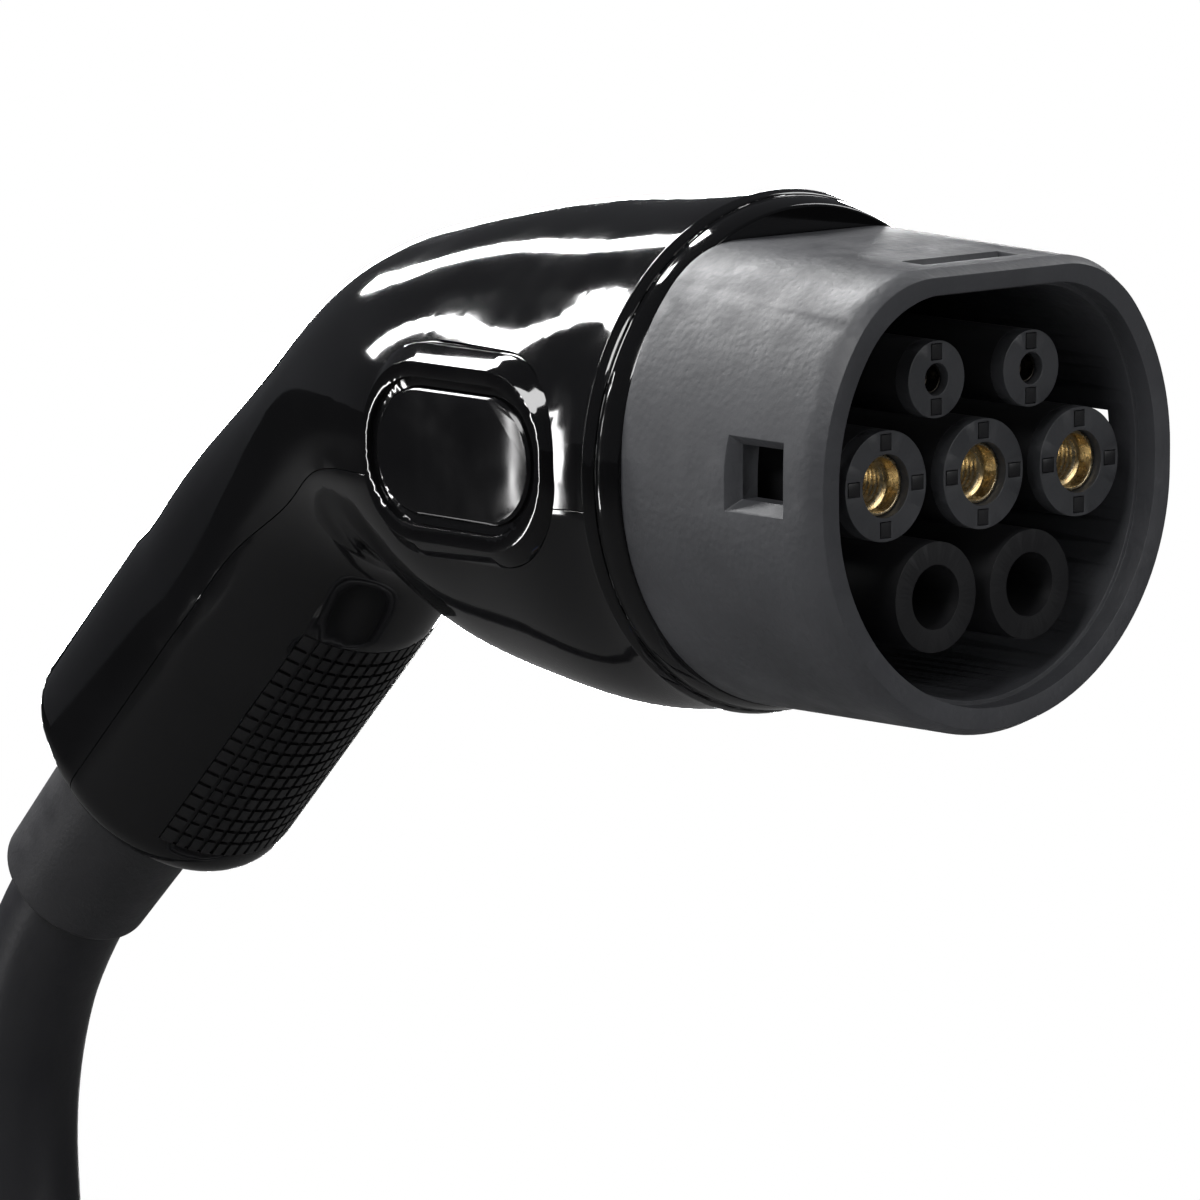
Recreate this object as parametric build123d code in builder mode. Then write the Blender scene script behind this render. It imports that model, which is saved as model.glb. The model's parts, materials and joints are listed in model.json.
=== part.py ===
"""Type 2 vehicle connector (single phase) with a pistol grip and a tethered cable.

Frame: millimetres. The nose points to -Y, the grip drops down and back (+Y, -Z), +X is
the right-hand side seen from behind the plug. The origin is on the axis of the earth
contact, in the plane of the nose's front rim.
"""

from build123d import *
from math import atan2, cos, pi, radians, sin, sqrt, tan
import os

os.makedirs("parts", exist_ok=True)

# ---------------------------------------------------------------- driving dimensions
fit_gap = 0.1            # between pieces that locate each other
loose_gap = 0.2          # between pieces that only stand side by side

# contact layout on the mating face (X, Z)
phase_pitch = 17.25      # line and neutral, each side of earth
pilot_x = 8.43
pilot_z = 12.82
spare_x = 8.38           # the two unused phase positions
spare_z = -15.05

# nose shroud
nose_radius = 31.9       # widest, just behind the rim bevel
nose_top = 27.1          # flat top above the axis
nose_low_centre = -1.5   # centre height of the lower arc
nose_high_centre = 1.0   # centre height of the upper arcs
nose_corner = 16.0       # rounding beside the flat top
nose_length = 36.0       # rim to housing
nose_draft = 0.3         # growth in radius from rim to housing
nose_rise = 1.0          # growth in height of the flat top
rim_bevel = 0.9
rim_bevel_length = 2.0
socket_radius = 27.6
socket_top = 23.4
socket_corner = 16.0
socket_lead = 0.6        # step in the mouth of the socket
socket_lead_depth = 3.0
spigot_radius = 29.2     # part of the shroud inside the housing
spigot_top = 27.9
spigot_corner = 18.0
spigot_end = 46.6
rib_start = 41.7         # the housing's rib, in front of the spigot's lugs
rib_end = 43.1
lug_width = 12.0
lug_height = 1.2
seat_depth = 38.0        # rim to the front of the contact carrier's base
seat_step = 0.5

# locking recesses in the nose
lock_slot_width = 17.2
lock_slot_length = 4.0
lock_slot_y = 7.2
lock_slot_depth = 2.6
pocket_y = 11.6          # side windows for the locking bolt
pocket_z = 1.8
pocket_length = 7.7
pocket_height = 7.0
pocket_bevel = 1.7

# insulating sleeves
tip_depth = 2.9          # sleeve tips behind the rim
power_sleeve_radius = 7.12
pilot_sleeve_radius = 4.97
power_hole_radius = 4.05
pilot_hole_radius = 2.05
spare_hole_radius = 4.17
spare_hole_depth = 30.0
cap_length = 2.4         # touch guard on a sleeve's tip
base_thickness = 5.0
finger_width = 1.7
finger_height = 1.9

# contacts
power_pin_radius = 3.0
pilot_pin_radius = 1.5
power_contact_radius = 3.9
pilot_contact_radius = 1.9
contact_recess = 1.3     # contact mouth behind the sleeve tip
power_mouth_radius = 3.55
pilot_mouth_radius = 1.72
mouth_depth = 2.2
power_bore_depth = 24.0
pilot_bore_depth = 20.0
collar_thickness = 2.0
power_collar_radius = 5.2
pilot_collar_radius = 2.9
power_tail_radius = 3.3
pilot_tail_radius = 1.6
tail_end = 60.0          # back of the crimp barrels
crimp_depth = 9.0
power_crimp_radius = 2.35
pilot_crimp_radius = 1.15

retainer_thickness = 4.0
retainer_screw_reach = 3.5   # into the carrier's base
seal_thickness = 2.0

# housing
wall = 2.3
ring_front = 36.0        # the front ring meets the nose here
lip_y = 41.5             # and the two housing halves here
ring_cover = 2.5         # the ring stands this far above the nose
lip_radius = nose_radius + ring_cover
mouth_top = lip_radius - 2.0     # top and bottom of the housing's front end
mouth_bottom = -lip_radius - 0.6
lip_centre = -1.0
ring_bore = 24.0
ring_edge_cover = 0.8    # and its front edge this far
ring_nose_edge = nose_radius + ring_edge_cover
ring_step = 0.45         # the ring grows by this at each of its two steps
ring_groove_start = 38.0
ring_groove_end = 39.2
ring_bead = 39.6
parting_gap = 0.12
parting_lift = 1.0       # parting line above the side band's lower crease

grip_angle = 46.0        # grip axis below the horizontal
grip_offset = 80.2       # distance of the grip axis from the origin, across the grip
grip_start = 128.0       # positions along the grip axis
grip_end = 159.8
grip_half_width = 18.5
grip_half_depth = 20.5
grip_crease = (16.9, 8.7)    # crease beside the back, from the grip's axis
grip_band = (-0.2, -3.2)     # the side band's upper and lower creases
grip_end_round = 5.4
back_bulge = 0.18        # share of its width that the back curves out between its creases
bell_bulge = 0.1         # and more where the housing is wider than the grip
end_wall = 3.0

# badge on each side
badge_y = 66.5
badge_z = -1.0
badge_face = 34.3        # bezel's outer face from the middle plane
bezel_length = 39.0
bezel_height = 28.0
bezel_corner = 12.5
bezel_bevel = 2.2
bezel_depth = 5.4
badge_length = 30.0
badge_height = 17.0
badge_corner = 8.2
badge_groove = 1.3
badge_groove_depth = 1.0
badge_thickness = 1.8
badge_rise = 0.2         # the badge's face below the bezel's
badge_bevel = 0.4

# grip panel
panel_start = 108.0
panel_end = 152.5
panel_half_angle = 42.0
panel_border = 1.0       # degrees without ribs at each side
panel_side_gap = 0.3     # degrees between the panel's sides and its pocket
panel_thickness = 1.2
panel_rise = 0.15
rib_pitch = 2.45
rib_groove = 0.6
rib_groove_depth = 0.45
rib_columns = 14

# cable and its entry
cable_diameter = 17.5
boot_bore_gap = 0.3
boot_root_radius = 11.75
boot_tip_radius = 11.05
boot_length = 25.0       # beyond the end of the grip
boot_tip_round = 1.3
boot_flange_radius = 12.9
boot_flange = 3.0
sheath_start = 136.0     # where the sheath ends inside the grip
entry_end = 166.0        # the cable is held straight up to here, inside the boot
boot_run = 25.0          # and points the same way over this length
clamp_start = 140.5
clamp_length = 11.0
clamp_wall = 3.0
clamp_split = 0.5
clamp_ear_reach = 15.1
clamp_ear_thickness = 3.6
clamp_screw_x = 13.2
clamp_foot = 9.0

# screws
screw_radius = 1.4
screw_gap = 0.1
screw_head_radius = 2.6
clamp_head_radius = 1.9
screw_head = 2.0
retainer_screw_places = [(-20.0, 13.0), (20.0, 13.0), (0.0, -22.0)]
housing_screw_x = 9.4
housing_screw_s = (117.0, 131.5)
housing_screw_reach = 6.0    # above the grip axis
screw_hole_spare = 0.5       # blind holes beyond the screw's tip
boss_radius = 3.4
screw_seat_depth = 8.3       # heads below the grip's front
screw_seat_v = screw_seat_depth - grip_half_depth

# conductors inside
core_radius = 2.3            # power cores over their insulation
pilot_core_radius = 1.1
core_layout = {"l1": (-3.6, 2.6), "n": (3.6, 2.6), "pe": (0.0, -4.2), "cp": (0.0, 0.7)}
core_lead = 24.0             # straight behind each contact
core_gather = 26.0           # straight before the sheath
core_bend = 14.0
resistor_radius = 1.6
resistor_length = 7.0
lead_radius = 0.4
lead_drop = 3.0              # the far lead meets the earth contact's barrel

# ------------------------------------------------------------------- grip coordinates
along = (cos(radians(grip_angle)), -sin(radians(grip_angle)))    # (Y, Z) down the grip
across = (sin(radians(grip_angle)), cos(radians(grip_angle)))    # (Y, Z) to its back


def grip_point(s, v=0.0):
    """(Y, Z) of the point s along the grip axis and v towards the back."""
    offset = grip_offset + v
    return (s * along[0] + offset * across[0], s * along[1] + offset * across[1])


def grip_plane(s):
    """Plane across the grip: local x is +X, local y is towards the back of the grip."""
    y, z = grip_point(s)
    normal = (0, -along[0], -along[1])
    return Plane(origin=(0, y, z), x_dir=(1, 0, 0), z_dir=normal)


# ---------------------------------------------------------------------- nose outlines
def nose_outline(radius, top, corner):
    """D-shaped outline: two arc centres joined by short sides, flat top with round corners."""
    reach = radius - corner
    rise = top - corner - nose_high_centre
    corner_x = sqrt(reach**2 - rise**2)
    corner_z = top - corner
    side = atan2(rise, corner_x)
    arc_x = radius * cos(side)
    arc_z = nose_high_centre + radius * sin(side)
    mid = (side + pi / 2) / 2
    mid_x = corner_x + corner * cos(mid)
    mid_z = corner_z + corner * sin(mid)
    upper_x = radius * cos(side / 2)
    upper_z = nose_high_centre + radius * sin(side / 2)
    bottom = nose_low_centre - radius
    with BuildSketch() as outline:
        with BuildLine():
            Line((-corner_x, top), (corner_x, top))
            ThreePointArc((corner_x, top), (mid_x, mid_z), (arc_x, arc_z))
            ThreePointArc((arc_x, arc_z), (upper_x, upper_z), (radius, nose_high_centre))
            Line((radius, nose_high_centre), (radius, nose_low_centre))
            ThreePointArc((radius, nose_low_centre), (0, bottom), (-radius, nose_low_centre))
            Line((-radius, nose_low_centre), (-radius, nose_high_centre))
            ThreePointArc((-radius, nose_high_centre), (-upper_x, upper_z), (-arc_x, arc_z))
            ThreePointArc((-arc_x, arc_z), (-mid_x, mid_z), (-corner_x, top))
        make_face()
    return outline.sketch


def at_depth(y):
    """Plane across the nose at a depth behind the rim; extrusions run back from it."""
    return Plane(origin=(0, y, 0), x_dir=(-1, 0, 0), z_dir=(0, 1, 0))


power_places = {"l1": (-phase_pitch, 0.0), "n": (phase_pitch, 0.0), "pe": (0.0, 0.0)}
pilot_places = {"cp": (pilot_x, pilot_z), "pp": (-pilot_x, pilot_z)}
spare_places = [(-spare_x, spare_z), (spare_x, spare_z)]


def seen(place):
    """A place (X, Z) in the local axes of at_depth planes."""
    return (-place[0], place[1])


# ------------------------------------------------------------------------ nose shroud
with BuildPart() as nose_shroud:
    with BuildSketch(at_depth(0)):
        add(nose_outline(nose_radius - rim_bevel, nose_top - rim_bevel, nose_corner))
    with BuildSketch(at_depth(rim_bevel_length)):
        add(nose_outline(nose_radius, nose_top, nose_corner))
    loft()
    with BuildSketch(at_depth(rim_bevel_length)):
        add(nose_outline(nose_radius, nose_top, nose_corner))
    with BuildSketch(at_depth(nose_length)):
        add(nose_outline(nose_radius + nose_draft, nose_top + nose_rise, nose_corner))
    loft()
    with BuildSketch(at_depth(nose_length)):
        add(nose_outline(spigot_radius, spigot_top, spigot_corner))
    extrude(amount=spigot_end - nose_length)
    with BuildSketch(at_depth(rib_end + fit_gap)):
        with Locations((0, spigot_top)):
            Rectangle(lug_width, 2 * lug_height)
        with Locations((0, nose_low_centre - spigot_radius)):
            Rectangle(lug_width, 2 * lug_height)
    extrude(amount=spigot_end - rib_end - fit_gap)
    with BuildSketch(at_depth(0)):
        add(nose_outline(socket_radius, socket_top, socket_corner))
    extrude(amount=spigot_end, mode=Mode.SUBTRACT)
    with BuildSketch(at_depth(0)):
        add(nose_outline(socket_radius + socket_lead, socket_top + socket_lead, socket_corner))
    extrude(amount=socket_lead_depth, mode=Mode.SUBTRACT)
    with BuildSketch(at_depth(seat_depth)):
        add(nose_outline(socket_radius + seat_step, socket_top + seat_step, socket_corner))
    extrude(amount=spigot_end - seat_depth, mode=Mode.SUBTRACT)
    with BuildSketch(Plane.XY.offset(nose_top + nose_rise)):
        with Locations((0, lock_slot_y)):
            Rectangle(lock_slot_width, lock_slot_length)
    extrude(amount=-(nose_rise + lock_slot_depth), mode=Mode.SUBTRACT)
    for side in (-1, 1):
        window = Plane(origin=(side * (nose_radius + nose_draft), pocket_y, pocket_z),
                       x_dir=(0, side, 0), z_dir=(side, 0, 0))
        with BuildSketch(window):
            Rectangle(pocket_length + 2 * pocket_bevel, pocket_height + 2 * pocket_bevel)
        with BuildSketch(window.offset(-(nose_draft + pocket_bevel))):
            Rectangle(pocket_length, pocket_height)
        loft(mode=Mode.SUBTRACT)
        with BuildSketch(window):
            Rectangle(pocket_length, pocket_height)
        extrude(amount=-(nose_radius + nose_draft - socket_radius + wall), mode=Mode.SUBTRACT)
nose_shroud.part.label = "nose_shroud"
export_step(nose_shroud.part, "parts/nose_shroud.step")

# -------------------------------------------------------------------- contact carrier
base_back = seat_depth + base_thickness
cap_back = tip_depth + cap_length


def fingers(count, radius):
    """Snap fingers in a ring, seen from the front, as a sketch."""
    with BuildSketch() as ring:
        with PolarLocations(radius, count, start_angle=90):
            Rectangle(finger_height, finger_width)
    return ring.sketch


power_finger_radius = (power_hole_radius + power_sleeve_radius) / 2
pilot_finger_radius = (pilot_hole_radius + pilot_sleeve_radius) / 2

with BuildPart() as contact_carrier:
    with BuildSketch(at_depth(seat_depth)):
        add(nose_outline(socket_radius + seat_step - fit_gap, socket_top + seat_step - fit_gap,
                         socket_corner))
    extrude(amount=base_thickness)
    with BuildSketch(at_depth(cap_back)):
        with Locations(*[seen(place) for place in power_places.values()]):
            Circle(power_sleeve_radius)
        with Locations(*[seen(place) for place in pilot_places.values()]):
            Circle(pilot_sleeve_radius)
    extrude(amount=seat_depth - cap_back)
    with BuildSketch(at_depth(tip_depth)):
        with Locations(*[seen(place) for place in spare_places]):
            Circle(power_sleeve_radius)
    extrude(amount=seat_depth - tip_depth)
    with BuildSketch(at_depth(tip_depth)):
        with Locations(*[seen(place) for place in power_places.values()]):
            add(fingers(4, power_finger_radius))
        with Locations(*[seen(place) for place in pilot_places.values()]):
            add(fingers(2, pilot_finger_radius))
    extrude(amount=cap_length)
    with BuildSketch(at_depth(cap_back)):
        with Locations(*[seen(place) for place in power_places.values()]):
            Circle(power_hole_radius)
        with Locations(*[seen(place) for place in pilot_places.values()]):
            Circle(pilot_hole_radius)
    extrude(amount=base_back - cap_back, mode=Mode.SUBTRACT)
    with BuildSketch(at_depth(tip_depth)):
        with Locations(*[seen(place) for place in spare_places]):
            Circle(spare_hole_radius)
    extrude(amount=spare_hole_depth, mode=Mode.SUBTRACT)
    with BuildSketch(at_depth(base_back - collar_thickness)):
        with Locations(*[seen(place) for place in power_places.values()]):
            Circle(power_collar_radius + fit_gap)
        with Locations(*[seen(place) for place in pilot_places.values()]):
            Circle(pilot_collar_radius + fit_gap)
    extrude(amount=collar_thickness, mode=Mode.SUBTRACT)
    with BuildSketch(at_depth(base_back)):
        with Locations(*[seen(place) for place in retainer_screw_places]):
            Circle(screw_radius + screw_gap / 2)
    extrude(amount=-(retainer_screw_reach + screw_hole_spare), mode=Mode.SUBTRACT)
contact_carrier.part.label = "contact_carrier"
export_step(contact_carrier.part, "parts/contact_carrier.step")


# --------------------------------------------------------------- touch guards (caps)
def touch_guard(place, outer, hole, finger_ring, count, name):
    """Cap on a sleeve's tip, with windows for the sleeve's snap fingers."""
    with BuildPart() as guard:
        with BuildSketch(at_depth(tip_depth)):
            with Locations(seen(place)):
                Circle(outer)
                Circle(hole, mode=Mode.SUBTRACT)
                with PolarLocations(finger_ring, count, start_angle=90):
                    Rectangle(finger_height + 2 * fit_gap, finger_width + 2 * fit_gap,
                              mode=Mode.SUBTRACT)
        extrude(amount=cap_length)
    guard.part.label = name
    export_step(guard.part, f"parts/{name}.step")


for key, place in power_places.items():
    touch_guard(place, power_sleeve_radius, power_hole_radius, power_finger_radius, 4,
                f"touch_guard_{key}")
for key, place in pilot_places.items():
    touch_guard(place, pilot_sleeve_radius, pilot_hole_radius, pilot_finger_radius, 2,
                f"touch_guard_{key}")


# --------------------------------------------------------------------- contacts
def contact(place, body, mouth, pin, bore_depth, collar, tail, crimp, name):
    """Turned socket contact: stepped mouth, bore, collar and crimp barrel."""
    front = tip_depth + contact_recess
    bore_start = front + mouth_depth
    bore_end = bore_start + bore_depth
    with BuildPart() as piece:
        with BuildSketch(Plane.XY):
            with BuildLine():
                Polyline((mouth, front), (body, front), (body, base_back - collar_thickness),
                         (collar, base_back - collar_thickness), (collar, base_back),
                         (tail, base_back), (tail, tail_end), (0, tail_end), (0, bore_end),
                         (pin, bore_end), (pin, bore_start), (mouth, bore_start), close=True)
            make_face()
        revolve(axis=Axis.Y)
        with BuildSketch(at_depth(tail_end)):
            Circle(crimp)
        extrude(amount=-crimp_depth, mode=Mode.SUBTRACT)
    solid = Pos(place[0], 0, place[1]) * piece.part
    solid.label = name
    export_step(solid, f"parts/{name}.step")


for key, place in power_places.items():
    contact(place, power_contact_radius, power_mouth_radius, power_pin_radius, power_bore_depth,
            power_collar_radius, power_tail_radius, power_crimp_radius, f"contact_{key}")
for key, place in pilot_places.items():
    contact(place, pilot_contact_radius, pilot_mouth_radius, pilot_pin_radius, pilot_bore_depth,
            pilot_collar_radius, pilot_tail_radius, pilot_crimp_radius, f"contact_{key}")

# ------------------------------------------------------- rear seal and retainer
seal_back = base_back + seal_thickness
retainer_back = seal_back + retainer_thickness


def rear_plate(front, thickness, screw_hole, gap, name):
    """Plate behind the carrier, pierced for the contact tails and the screws."""
    with BuildPart() as plate:
        with BuildSketch(at_depth(front)):
            add(nose_outline(socket_radius + seat_step - fit_gap,
                             socket_top + seat_step - fit_gap, socket_corner))
            with Locations(*[seen(place) for place in power_places.values()]):
                Circle(power_tail_radius + gap, mode=Mode.SUBTRACT)
            with Locations(*[seen(place) for place in pilot_places.values()]):
                Circle(pilot_tail_radius + gap, mode=Mode.SUBTRACT)
            with Locations(*[seen(place) for place in retainer_screw_places]):
                Circle(screw_hole, mode=Mode.SUBTRACT)
        extrude(amount=thickness)
    plate.part.label = name
    export_step(plate.part, f"parts/{name}.step")


rear_plate(base_back, seal_thickness, screw_radius + screw_gap, fit_gap, "rear_seal")
rear_plate(seal_back, retainer_thickness, screw_radius + screw_gap, loose_gap,
           "contact_retainer")

with BuildPart() as retainer_screws:
    with BuildSketch(at_depth(retainer_back)):
        with Locations(*[seen(place) for place in retainer_screw_places]):
            Circle(screw_head_radius)
    extrude(amount=screw_head)
    with BuildSketch(at_depth(retainer_back)):
        with Locations(*[seen(place) for place in retainer_screw_places]):
            Circle(screw_radius)
    extrude(amount=-(retainer_back - base_back + retainer_screw_reach))
retainer_screws.part.label = "retainer_screws"
export_step(retainer_screws.part, "parts/retainer_screws.step")

# ------------------------------------------------------------------- front ring
with BuildPart() as front_ring:
    lip = Plane(origin=(0, 0, lip_centre), x_dir=(1, 0, 0), z_dir=(0, 0, 1))
    with BuildSketch(lip):
        with BuildLine():
            Polyline((ring_bore, ring_front), (ring_nose_edge, ring_front),
                     (lip_radius - 2 * ring_step, ring_groove_start),
                     (lip_radius - 2 * ring_step, ring_groove_end),
                     (lip_radius - ring_step, ring_bead),
                     (lip_radius, lip_y - parting_gap), (ring_bore, lip_y - parting_gap),
                     close=True)
        make_face()
    revolve(axis=Axis((0, 0, lip_centre), (0, 1, 0)))
    with BuildSketch(at_depth(ring_front)):
        add(nose_outline(spigot_radius + fit_gap, spigot_top + fit_gap, spigot_corner))
    extrude(amount=lip_y - ring_front, mode=Mode.SUBTRACT)
front_ring.part.label = "front_ring"
export_step(front_ring.part, "parts/front_ring.step")


# ------------------------------------------------------------------- housing form
class Station:
    """A cross-section of the housing, through a top point and a bottom point (Y, Z)."""

    def __init__(self, top, bottom, half_width, shoulder, band_high, band_low):
        self.half_height = sqrt((top[0] - bottom[0])**2 + (top[1] - bottom[1])**2) / 2
        self.half_width = half_width
        self.shoulder = shoulder          # (x, v) of the crease beside the back
        self.band_high = band_high        # v of the side band's upper crease
        self.band_low = band_low          # v of its lower crease
        centre = ((top[0] + bottom[0]) / 2, (top[1] + bottom[1]) / 2)
        up = ((top[0] - bottom[0]) / 2 / self.half_height,
              (top[1] - bottom[1]) / 2 / self.half_height)
        self.centre = centre
        self.up = up
        self.plane = Plane(origin=(0, centre[0], centre[1]), x_dir=(1, 0, 0),
                           z_dir=(0, -up[1], up[0]))

    def height_point(self, v):
        """(Y, Z) of the point v above the section's centre."""
        return (self.centre[0] + v * self.up[0], self.centre[1] + v * self.up[1])


def round_station(y, top, bottom, shoulder_angle, band_high, band_low):
    """A circular station across the bell of the housing."""
    radius = (top - bottom) / 2
    shoulder = (radius * cos(radians(shoulder_angle)), radius * sin(radians(shoulder_angle)))
    return Station((y, top), (y, bottom), radius, shoulder, band_high, band_low)


def grip_station(s, hollow=0.0):
    """The grip's section; hollow lowers its back towards the bell."""
    return Station(grip_point(s, grip_half_depth - hollow), grip_point(s, -grip_half_depth),
                   grip_half_width, grip_crease, *grip_band)


stations = [
    round_station(lip_y, mouth_top, mouth_bottom, 40, -1.5, -5.5),
    round_station(50, mouth_top - 0.4, mouth_bottom - 0.9, 39.5, -1.2, -5.2),
    round_station(60, mouth_top - 1.4, mouth_bottom - 1.1, 39, -0.9, -5.0),
    round_station(69, mouth_top - 2.3, mouth_bottom - 0.1, 38, -0.5, -4.7),
    Station((78, 28.8), (77, -33.8), 32.3, (25.6, 19.4), -0.2, -4.4),
    Station((97, 24.9), (92, -28.8), 29.6, (25.2, 15.2), -1.0, -5.0),
    Station((113.5, 18.4), (100.9, -24.8), 25.2, (22.0, 11.8), -2.8, -6.4),
    Station((127.1, 8.4), (107.0, -24.8), 21.6, (18.8, 9.6), -3.2, -6.8),
    grip_station(106, 0.7),
    grip_station(117, 0.3),
    grip_station(grip_start),
]


def housing_section(station, inset):
    """Outline with creases at the shoulders and along both edges of the side band."""
    top = station.half_height - inset
    bottom = -station.half_height + inset
    wide = station.half_width - inset
    scale = wide / station.half_width
    shoulder = (station.shoulder[0] * scale, station.shoulder[1] * scale)
    high = (wide, station.band_high)
    low_x = wide * sqrt(1 - (station.band_low / station.half_height)**2 / 2)
    low = (low_x, station.band_low)
    bulge = (wide - shoulder[0]) * back_bulge
    bulge += (station.half_width - grip_half_width) * bell_bulge
    middle = ((shoulder[0] + high[0]) / 2 + bulge, (shoulder[1] + high[1]) / 2)
    with BuildSketch() as section:
        with BuildLine():
            ThreePointArc((-shoulder[0], shoulder[1]), (0, top), shoulder)
            ThreePointArc(shoulder, middle, high)
            Line(high, low)
            ThreePointArc(low, (0, bottom), (-low[0], low[1]))
            Line((-low[0], low[1]), (-high[0], high[1]))
            ThreePointArc((-high[0], high[1]), (-middle[0], middle[1]),
                          (-shoulder[0], shoulder[1]))
        make_face()
    return section.sketch


def housing_form(inset, end):
    """Bell and grip as one solid, inset from the outer surface and ending at s = end."""
    with BuildPart() as form:
        for station in stations:
            with BuildSketch(station.plane):
                add(housing_section(station, inset))
        loft()
        with BuildSketch(grip_plane(grip_start)):
            add(housing_section(grip_station(grip_start), inset))
        extrude(amount=-(end - grip_start))
        last = form.faces().sort_by(Axis((0, 0, 0), (0, along[0], along[1])))[-1]
        fillet(last.edges(), max(grip_end_round - inset, 1.0))
    return form.part


outer_form = housing_form(0, grip_end)
inner_form = housing_form(wall, grip_end - end_wall)


def rounded_box(length, height, corner, x, depth, side):
    """Rounded slab on a side of the plug, from x inwards by depth."""
    face = Plane(origin=(side * x, badge_y, badge_z), x_dir=(0, side, 0), z_dir=(side, 0, 0))
    with BuildPart() as slab:
        with BuildSketch(face):
            RectangleRounded(length, height, corner)
        extrude(amount=-depth)
    return slab.part


# -------------------------------------------------------------------- housing halves
parting_depth = 2 * lip_radius   # reach of the parting block to the sides and below


def parting_block(shift):
    """Everything below the parting surface, which runs inside the side band."""
    points = [station.height_point(station.band_low + parting_lift + shift)
              for station in stations]
    front = (ring_front, points[0][1])
    far = grip_point(grip_end + parting_depth, grip_band[1] + parting_lift + shift)
    below = far[1] - parting_depth
    with BuildPart() as block:
        with BuildSketch(Plane.YZ):
            with BuildLine():
                Line(front, points[0])
                Spline(*points, tangents=[(1, 0), along])
                Line(points[-1], far)
                Polyline(far, (far[0], below), (front[0], below), front)
            make_face()
        extrude(amount=parting_depth, both=True)
    return block.part


cable_hole = boot_root_radius + fit_gap
cable_axis = grip_plane(grip_end)

with BuildPart() as boot_opening:
    with BuildSketch(cable_axis):
        Circle(cable_hole)
    extrude(amount=2 * end_wall)

# the rib that holds the shroud
with BuildPart() as holding_rib:
    with BuildSketch(at_depth(rib_start)):
        with Locations((0, lip_centre)):
            Circle(lip_radius - wall / 2 - ring_step)
        add(nose_outline(spigot_radius + fit_gap, spigot_top + fit_gap, spigot_corner),
            mode=Mode.SUBTRACT)
    extrude(amount=rib_end - rib_start)

# the grip's underside is an arc about this height
low_v = grip_band[1]
low_x = grip_half_width * sqrt(1 - (low_v / grip_half_depth)**2 / 2)
low_rise = low_v + grip_half_depth
under_radius = (low_x**2 + low_rise**2) / (2 * low_rise)
under_centre = under_radius - grip_half_depth


def under_sector(outer, inner, half_angle):
    """Sketch of a curved strip round the grip's underside."""
    start = -90 - half_angle
    edge = [(radius * sin(radians(half_angle)), under_centre - radius * cos(radians(half_angle)))
            for radius in (outer, inner)]
    with BuildSketch() as strip:
        with BuildLine():
            CenterArc((0, under_centre), outer, start, 2 * half_angle)
            CenterArc((0, under_centre), inner, start, 2 * half_angle)
            Line(edge[0], edge[1])
            Line((-edge[0][0], edge[0][1]), (-edge[1][0], edge[1][1]))
        make_face()
    return strip.sketch


def grip_level(v):
    """Plane level with the grip axis, facing the underside: local y runs down the grip."""
    y, z = grip_point(0, v)
    return Plane(origin=(0, y, z), x_dir=(-1, 0, 0), z_dir=(0, -across[0], -across[1]))


housing_screw_places = [(side * housing_screw_x, s)
                        for s in housing_screw_s for side in (-1, 1)]

with BuildPart() as screw_bosses:
    with BuildSketch(grip_level(-grip_half_depth)):
        with Locations(*housing_screw_places):
            Circle(boss_radius)
    extrude(amount=-2 * grip_half_depth)

with BuildPart() as panel_pocket:
    with BuildSketch(grip_plane(panel_start - fit_gap)):
        add(under_sector(under_radius + wall, under_radius - panel_thickness,
                         panel_half_angle + panel_side_gap))
    extrude(amount=-(panel_end - panel_start + 2 * fit_gap))

shell = outer_form - inner_form - boot_opening.part + holding_rib.part
shell += inner_form & screw_bosses.part
for side in (-1, 1):
    shell -= rounded_box(bezel_length + 2 * fit_gap, bezel_height + 2 * fit_gap,
                         bezel_corner + fit_gap, badge_face + wall, 3 * bezel_depth, side)

with BuildPart() as upper_housing:
    add(shell)
    add(parting_block(parting_gap / 2), mode=Mode.SUBTRACT)
    with BuildSketch(grip_level(-grip_half_depth)):
        with Locations(*housing_screw_places):
            Circle(screw_radius + screw_gap / 2)
    extrude(amount=-(grip_half_depth + housing_screw_reach + screw_hole_spare), mode=Mode.SUBTRACT)
upper_housing.part.label = "upper_housing"
export_step(upper_housing.part, "parts/upper_housing.step")

with BuildPart() as lower_housing:
    add(shell)
    add(parting_block(-parting_gap / 2), mode=Mode.INTERSECT)
    add(panel_pocket.part, mode=Mode.SUBTRACT)
    with BuildSketch(grip_level(0)):
        with Locations(*housing_screw_places):
            Circle(screw_radius + screw_gap)
    extrude(amount=grip_half_depth, mode=Mode.SUBTRACT)
    with BuildSketch(grip_level(screw_seat_v)):
        with Locations(*housing_screw_places):
            Circle(screw_head_radius + screw_gap)
    extrude(amount=grip_half_depth, mode=Mode.SUBTRACT)
lower_housing.part.label = "lower_housing"
export_step(lower_housing.part, "parts/lower_housing.step")

with BuildPart() as housing_screws:
    with BuildSketch(grip_level(screw_seat_v)):
        with Locations(*housing_screw_places):
            Circle(screw_head_radius)
    extrude(amount=screw_head)
    with BuildSketch(grip_level(screw_seat_v)):
        with Locations(*housing_screw_places):
            Circle(screw_radius)
    extrude(amount=-(housing_screw_reach - screw_seat_v))
housing_screws.part.label = "housing_screws"
export_step(housing_screws.part, "parts/housing_screws.step")

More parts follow.
